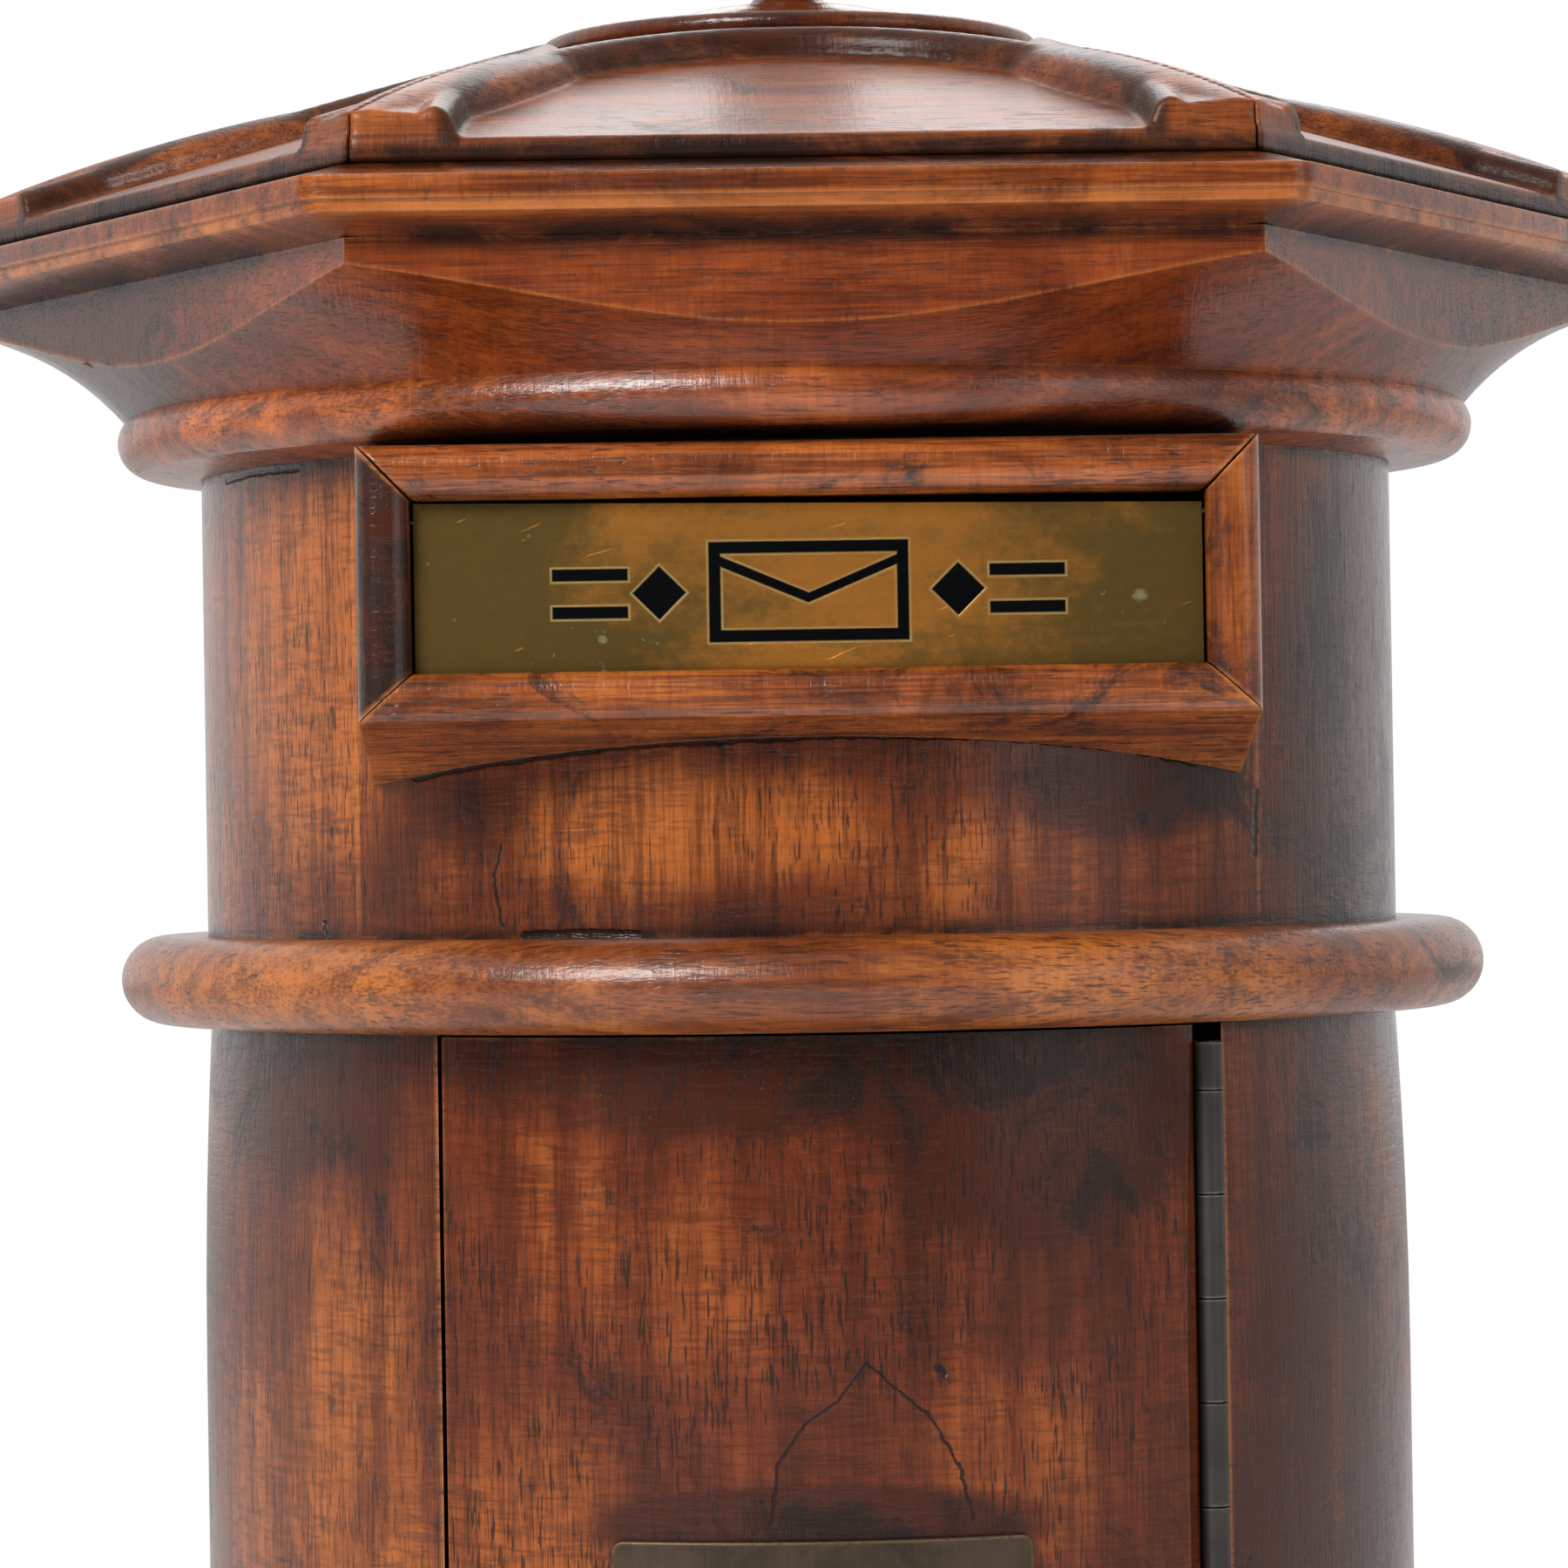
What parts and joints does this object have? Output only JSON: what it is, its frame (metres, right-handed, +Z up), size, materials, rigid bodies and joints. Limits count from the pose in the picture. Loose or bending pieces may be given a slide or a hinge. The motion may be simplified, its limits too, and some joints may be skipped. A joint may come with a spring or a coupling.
{
  "type": "desk letter box",
  "caption": "Round wooden desk letter box with a hexagonal carved roof, a brass letter flap in a mitred frame and a curved hinged door with a lock.",
  "frame": {"origin": "centre of the underside of the plinth, on the drum's axis", "axes": "+Z up the drum's axis; the front, with the letter slot and the door, faces -Y; +X is to the right of someone facing the front"},
  "size_m": [0.3542, 0.3068, 0.5445],
  "materials": {
    "mahogany": "stained mahogany under aged glossy wax, dark patina in the recesses",
    "moulding_mahogany": "turned and moulded mahogany, worn to orange on its arrises",
    "inner_wood": "oiled bare wood",
    "hinge_steel": "dark aged steel",
    "flap_brass": "aged olive brass, scratched",
    "lock_brass": "aged brass",
    "plaque_bronze": "dark bronze, worn at its edges"
  },
  "bodies": {
    "carcass": {"base_plinth": "mahogany", "base_moulding": "mahogany", "base_screws": "hinge_steel", "floor_board": "inner_wood", "lower_wall_left": "mahogany", "lower_wall_back": "mahogany", "lower_wall_right": "mahogany", "door_stop": "inner_wood", "mid_band": "moulding_mahogany", "upper_wall_front": "mahogany", "upper_wall_right": "mahogany", "upper_wall_back": "mahogany", "upper_wall_left": "mahogany", "ring_board": "mahogany", "ring_screws": "hinge_steel", "cornice_front": "mahogany", "cornice_middle": "mahogany", "cornice_back": "mahogany", "cornice_slab": "mahogany", "roof_front": "mahogany", "roof_front_right": "mahogany", "roof_back_right": "mahogany", "roof_back": "mahogany", "roof_back_left": "mahogany", "roof_front_left": "mahogany", "roof_disc": "mahogany", "finial": "mahogany", "frame_top": "moulding_mahogany", "frame_bottom": "moulding_mahogany", "frame_left": "moulding_mahogany", "frame_right": "moulding_mahogany", "flap_pins": "hinge_steel", "hinge_leaf_body": "hinge_steel", "hinge_screws_body": "hinge_steel", "hinge_pin": "hinge_steel"},
    "door": {"door": "mahogany", "plaque": "plaque_bronze", "hinge_leaf_door": "hinge_steel", "hinge_screws_door": "hinge_steel", "lock_housing": "lock_brass", "lock_nut": "lock_brass"},
    "flap": {"letter_flap": "flap_brass"},
    "lock": {"lock_plug": "lock_brass", "lock_cam": "hinge_steel", "cam_screw": "hinge_steel"}
  },
  "joints": [
    {"name": "door_swing", "type": "hinge", "parent": "carcass", "child": "door", "pos_m": [0.0736, -0.09415, 0.17], "axis": [0, 0, 1], "range_deg": [0, 135]},
    {"name": "flap_swing", "type": "hinge", "parent": "carcass", "child": "flap", "pos_m": [0, -0.127, 0.3897], "axis": [1, 0, 0], "range_deg": [0, 75]},
    {"name": "lock_turn", "type": "hinge", "parent": "door", "child": "lock", "pos_m": [-0.04474, -0.10049, 0.165], "axis": [0.4067, 0.9135, 0], "range_deg": [0, 90]}
  ]
}
